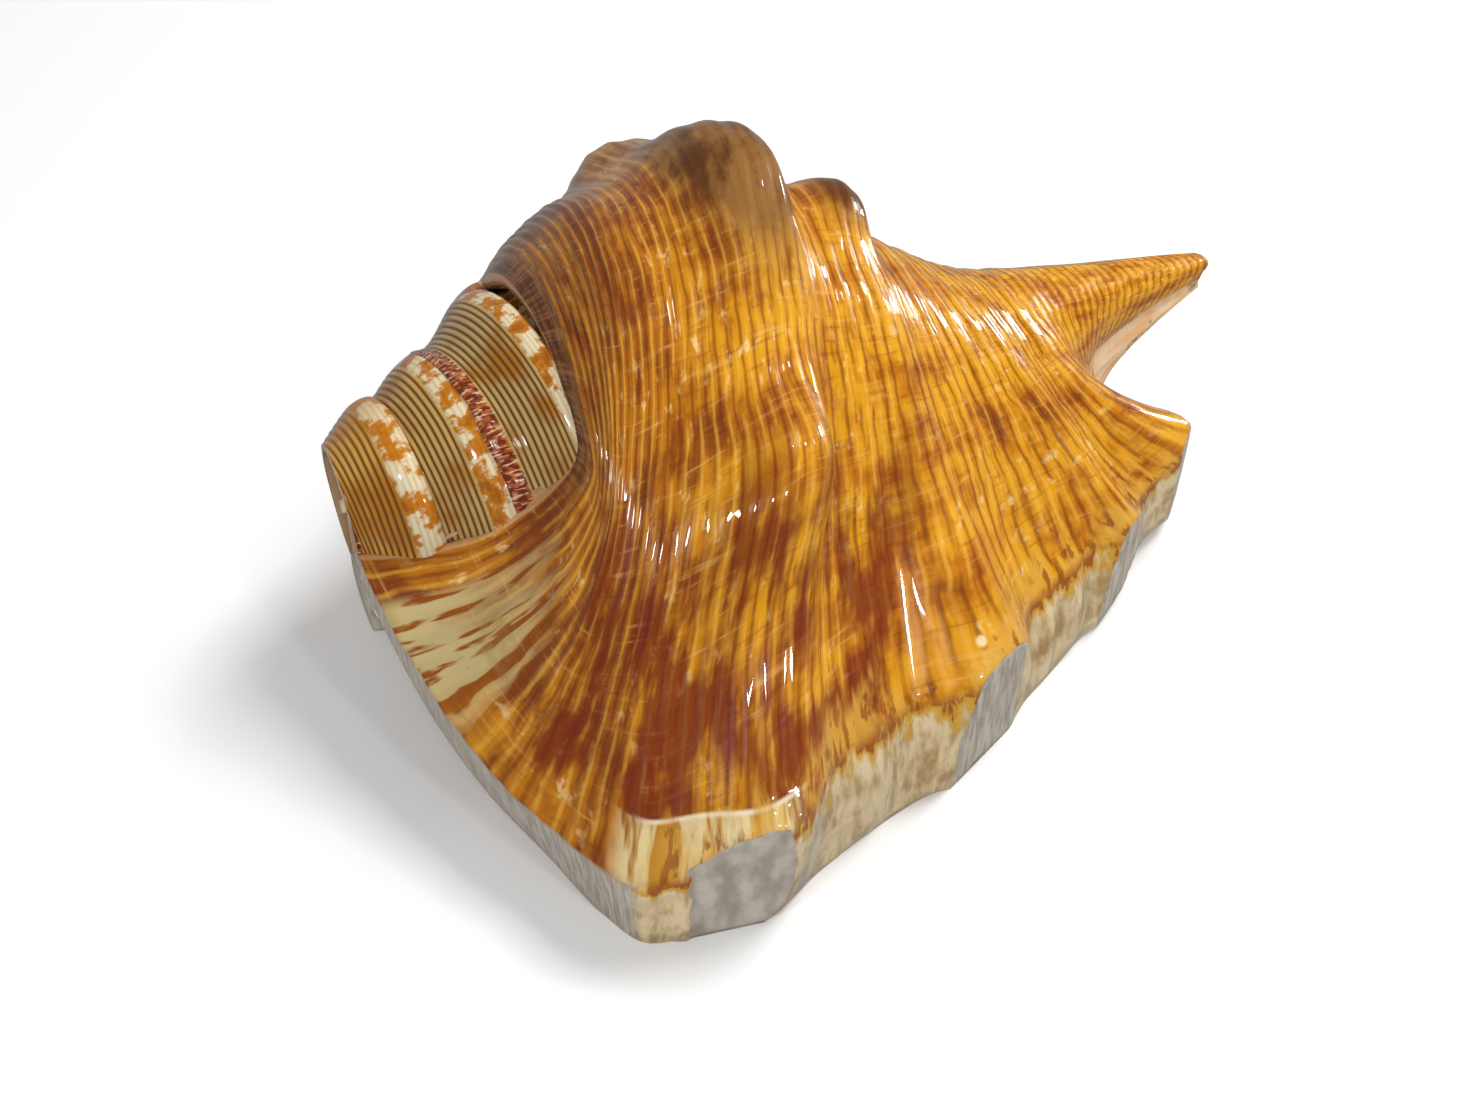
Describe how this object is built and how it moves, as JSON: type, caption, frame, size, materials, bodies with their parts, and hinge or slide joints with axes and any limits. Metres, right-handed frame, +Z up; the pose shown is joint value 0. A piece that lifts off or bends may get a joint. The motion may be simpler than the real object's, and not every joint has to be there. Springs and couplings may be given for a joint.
{
  "type": "conch shell",
  "caption": "Polished spider conch shell, a large coiled sea shell with a broad flared lip, a long siphonal canal, sawn apex and ground finger stumps.",
  "frame": {"origin": "on the ground under the middle of the shell's bounding box", "axes": "+X along the coil axis from the sawn apex to the siphonal canal, +Z up through the shell's back, -Y towards the outer lip"},
  "size_m": [0.1988, 0.1528, 0.0977],
  "materials": {
    "shell": "polished and lacquered amber-brown shell, high gloss"
  },
  "bodies": {
    "root": {"shell": "shell"}
  },
  "joints": []
}
